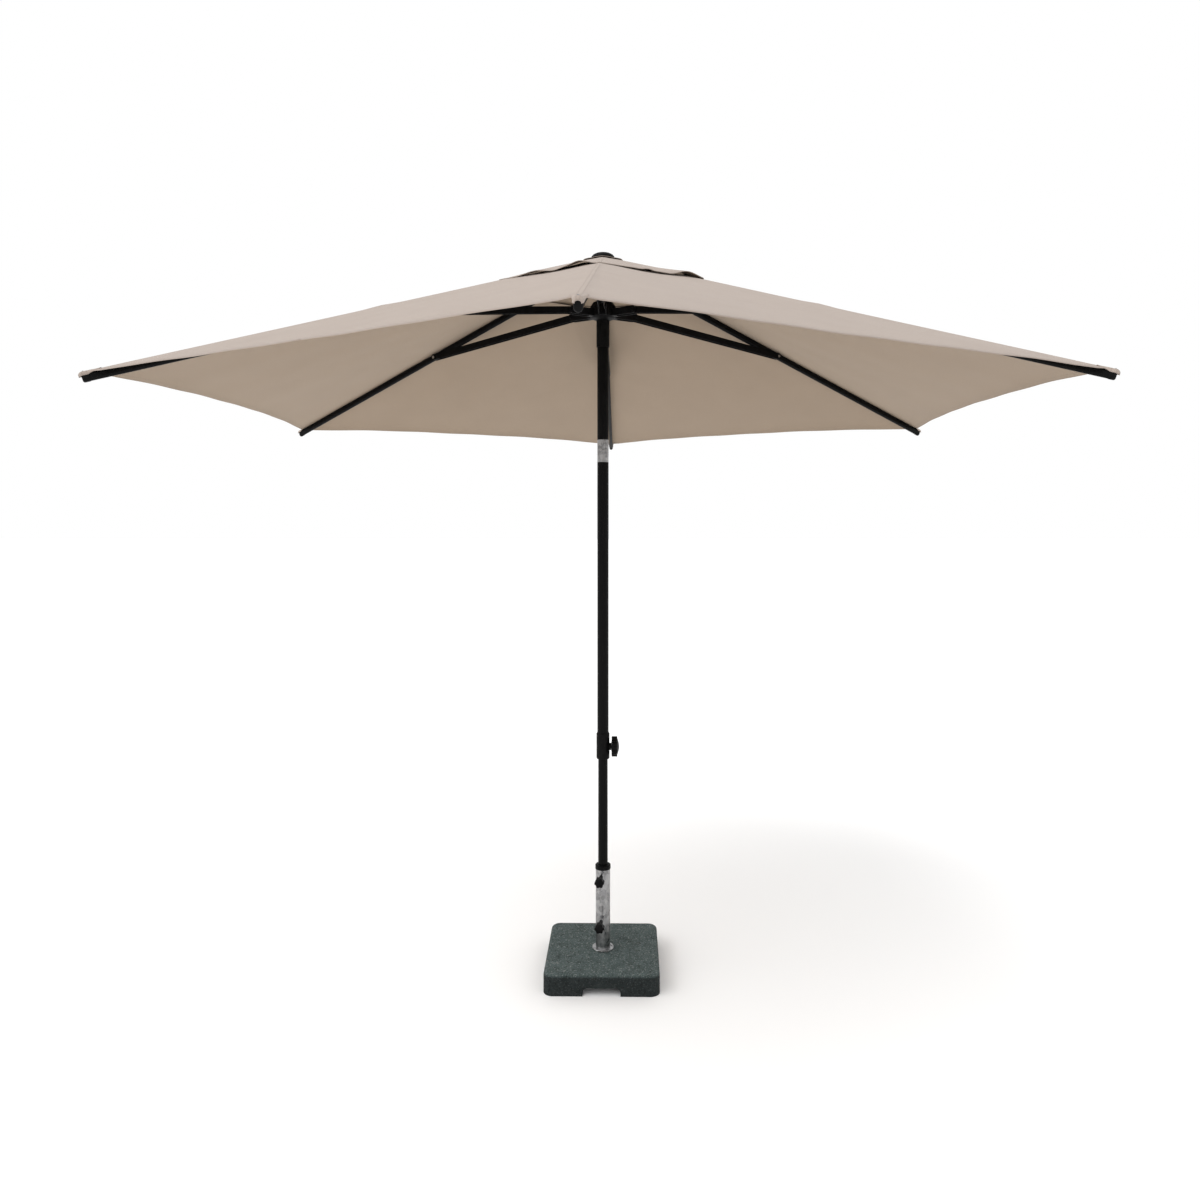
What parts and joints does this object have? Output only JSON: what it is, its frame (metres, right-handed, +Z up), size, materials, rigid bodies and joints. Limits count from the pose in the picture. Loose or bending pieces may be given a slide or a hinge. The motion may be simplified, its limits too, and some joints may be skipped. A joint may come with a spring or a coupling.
{
  "type": "patio umbrella",
  "caption": "Hexagonal push-up patio umbrella on a tilting, height-adjustable pole that stands in a stone block base with a clamped socket tube.",
  "frame": {"origin": "centre of the base block's underside, on the pole's axis", "axes": "+Z up the pole, -Y to the front, where one rib and the base knobs point, +X to the right, where the clamp knob points"},
  "size_m": [2.606, 3.0054, 2.394],
  "materials": {
    "stone": "matte",
    "zinc_steel": "satin",
    "black_steel": "satin",
    "black_plastic": "satin",
    "canopy_fabric": "matte"
  },
  "bodies": {
    "base": {"base_block": "stone", "base_flange": "zinc_steel", "flange_screws": "zinc_steel", "base_tube": "zinc_steel", "tube_collar": "black_plastic", "tube_nuts": "zinc_steel"},
    "base_knob_upper": {"base_knob_upper": "black_plastic", "base_bolt_upper": "zinc_steel"},
    "base_knob_lower": {"base_knob_lower": "black_plastic", "base_bolt_lower": "zinc_steel"},
    "lower_pole": {"lower_tube": "black_steel", "lower_tube_foot": "black_plastic", "lower_tube_glide": "black_plastic"},
    "mast": {"mast_tube": "black_steel", "clamp_bush": "black_plastic", "clamp_sleeve": "black_plastic", "tilt_socket": "zinc_steel"},
    "clamp_knob": {"clamp_knob": "black_plastic", "clamp_bolt": "zinc_steel"},
    "upper_pole": {"tilt_knuckle": "zinc_steel", "tilt_pin": "zinc_steel", "tilt_spring": "zinc_steel", "upper_tube": "black_steel", "crown_hub": "black_plastic", "crown_pins": "black_steel", "finial": "black_plastic", "vent_cap": "canopy_fabric"},
    "tilt_button": {"tilt_button": "zinc_steel"},
    "runner": {"runner": "black_plastic", "runner_rivets": "black_steel"},
    "rib_1": {"rib_1": "black_steel", "rib_fittings_1": "black_plastic", "rib_rivets_1": "zinc_steel", "canopy_1": "canopy_fabric"},
    "strut_1": {"strut_1": "black_steel"},
    "rib_2": {"rib_2": "black_steel", "rib_fittings_2": "black_plastic", "rib_rivets_2": "zinc_steel", "canopy_2": "canopy_fabric"},
    "strut_2": {"strut_2": "black_steel"},
    "rib_3": {"rib_3": "black_steel", "rib_fittings_3": "black_plastic", "rib_rivets_3": "zinc_steel", "canopy_3": "canopy_fabric"},
    "strut_3": {"strut_3": "black_steel"},
    "rib_4": {"rib_4": "black_steel", "rib_fittings_4": "black_plastic", "rib_rivets_4": "zinc_steel", "canopy_4": "canopy_fabric"},
    "strut_4": {"strut_4": "black_steel"},
    "rib_5": {"rib_5": "black_steel", "rib_fittings_5": "black_plastic", "rib_rivets_5": "zinc_steel", "canopy_5": "canopy_fabric"},
    "strut_5": {"strut_5": "black_steel"},
    "rib_6": {"rib_6": "black_steel", "rib_fittings_6": "black_plastic", "rib_rivets_6": "zinc_steel", "canopy_6": "canopy_fabric"},
    "strut_6": {"strut_6": "black_steel"}
  },
  "joints": [
    {"name": "pole_lift", "type": "slide", "parent": "base", "child": "lower_pole", "axis": [0, 0, 1], "range_m": [0, 0.3]},
    {"name": "base_knob_upper_turn", "type": "hinge", "parent": "base", "child": "base_knob_upper", "pos_m": [0, 0, 0.323], "axis": [-0.0872, -0.9962, 0], "range_deg": [0, 450]},
    {"name": "base_knob_lower_turn", "type": "hinge", "parent": "base", "child": "base_knob_lower", "pos_m": [0, 0, 0.176], "axis": [-0.0872, -0.9962, 0], "range_deg": [0, 450]},
    {"name": "height_slide", "type": "slide", "parent": "lower_pole", "child": "mast", "axis": [0, 0, 1], "range_m": [-0.3, 0]},
    {"name": "clamp_knob_turn", "type": "hinge", "parent": "mast", "child": "clamp_knob", "pos_m": [0, 0, 0.74], "axis": [1, 0, 0], "range_deg": [0, 450]},
    {"name": "tilt", "type": "hinge", "parent": "mast", "child": "upper_pole", "pos_m": [0, 0, 1.742], "axis": [-1, 0, 0], "range_deg": [0, 30]},
    {"name": "tilt_button_press", "type": "slide", "parent": "upper_pole", "child": "tilt_button", "axis": [0, 1, 0], "range_m": [0, 0.002], "stiffness_N_per_m": 400, "springref_m": -0.002, "deforming": ["tilt_spring"]},
    {"name": "canopy_fold", "type": "slide", "parent": "upper_pole", "child": "runner", "axis": [0, 0, 1], "range_m": [-1.2087, 0]},
    {"name": "rib_1_hinge", "type": "hinge", "parent": "upper_pole", "child": "rib_1", "pos_m": [0, -0.045, 2.35], "axis": [1, 0, 0], "range_deg": [0, 68], "deforming": ["canopy_1"]},
    {"name": "strut_1_hinge", "type": "hinge", "parent": "rib_1", "child": "strut_1", "pos_m": [0, -0.74635, 2.11397], "axis": [-1, 0, 0], "range_deg": [0, 166.6]},
    {"name": "rib_2_hinge", "type": "hinge", "parent": "upper_pole", "child": "rib_2", "pos_m": [0.03897, -0.0225, 2.35], "axis": [0.5, 0.866, 0], "range_deg": [0, 68], "deforming": ["canopy_2"]},
    {"name": "strut_2_hinge", "type": "hinge", "parent": "rib_2", "child": "strut_2", "pos_m": [0.64636, -0.37317, 2.11397], "axis": [-0.5, -0.866, 0], "range_deg": [0, 166.6]},
    {"name": "rib_3_hinge", "type": "hinge", "parent": "upper_pole", "child": "rib_3", "pos_m": [0.03897, 0.0225, 2.35], "axis": [-0.5, 0.866, 0], "range_deg": [0, 68], "deforming": ["canopy_3"]},
    {"name": "strut_3_hinge", "type": "hinge", "parent": "rib_3", "child": "strut_3", "pos_m": [0.64636, 0.37317, 2.11397], "axis": [0.5, -0.866, 0], "range_deg": [0, 166.6]},
    {"name": "rib_4_hinge", "type": "hinge", "parent": "upper_pole", "child": "rib_4", "pos_m": [0, 0.045, 2.35], "axis": [-1, 0, 0], "range_deg": [0, 68], "deforming": ["canopy_4"]},
    {"name": "strut_4_hinge", "type": "hinge", "parent": "rib_4", "child": "strut_4", "pos_m": [0, 0.74635, 2.11397], "axis": [1, 0, 0], "range_deg": [0, 166.6]},
    {"name": "rib_5_hinge", "type": "hinge", "parent": "upper_pole", "child": "rib_5", "pos_m": [-0.03897, 0.0225, 2.35], "axis": [-0.5, -0.866, 0], "range_deg": [0, 68], "deforming": ["canopy_5"]},
    {"name": "strut_5_hinge", "type": "hinge", "parent": "rib_5", "child": "strut_5", "pos_m": [-0.64636, 0.37317, 2.11397], "axis": [0.5, 0.866, 0], "range_deg": [0, 166.6]},
    {"name": "rib_6_hinge", "type": "hinge", "parent": "upper_pole", "child": "rib_6", "pos_m": [-0.03897, -0.0225, 2.35], "axis": [0.5, -0.866, 0], "range_deg": [0, 68], "deforming": ["canopy_6"]},
    {"name": "strut_6_hinge", "type": "hinge", "parent": "rib_6", "child": "strut_6", "pos_m": [-0.64636, -0.37317, 2.11397], "axis": [-0.5, 0.866, 0], "range_deg": [0, 166.6]}
  ],
  "couplings": [
    {"joint": "rib_1_hinge", "follows": "canopy_fold", "rad_per_m": -0.97324},
    {"joint": "strut_1_hinge", "follows": "canopy_fold", "rad_per_m": -2.4034},
    {"joint": "rib_2_hinge", "follows": "canopy_fold", "rad_per_m": -0.97324},
    {"joint": "strut_2_hinge", "follows": "canopy_fold", "rad_per_m": -2.4034},
    {"joint": "rib_3_hinge", "follows": "canopy_fold", "rad_per_m": -0.97324},
    {"joint": "strut_3_hinge", "follows": "canopy_fold", "rad_per_m": -2.4034},
    {"joint": "rib_4_hinge", "follows": "canopy_fold", "rad_per_m": -0.97324},
    {"joint": "strut_4_hinge", "follows": "canopy_fold", "rad_per_m": -2.4034},
    {"joint": "rib_5_hinge", "follows": "canopy_fold", "rad_per_m": -0.97324},
    {"joint": "strut_5_hinge", "follows": "canopy_fold", "rad_per_m": -2.4034},
    {"joint": "rib_6_hinge", "follows": "canopy_fold", "rad_per_m": -0.97324},
    {"joint": "strut_6_hinge", "follows": "canopy_fold", "rad_per_m": -2.4034}
  ]
}
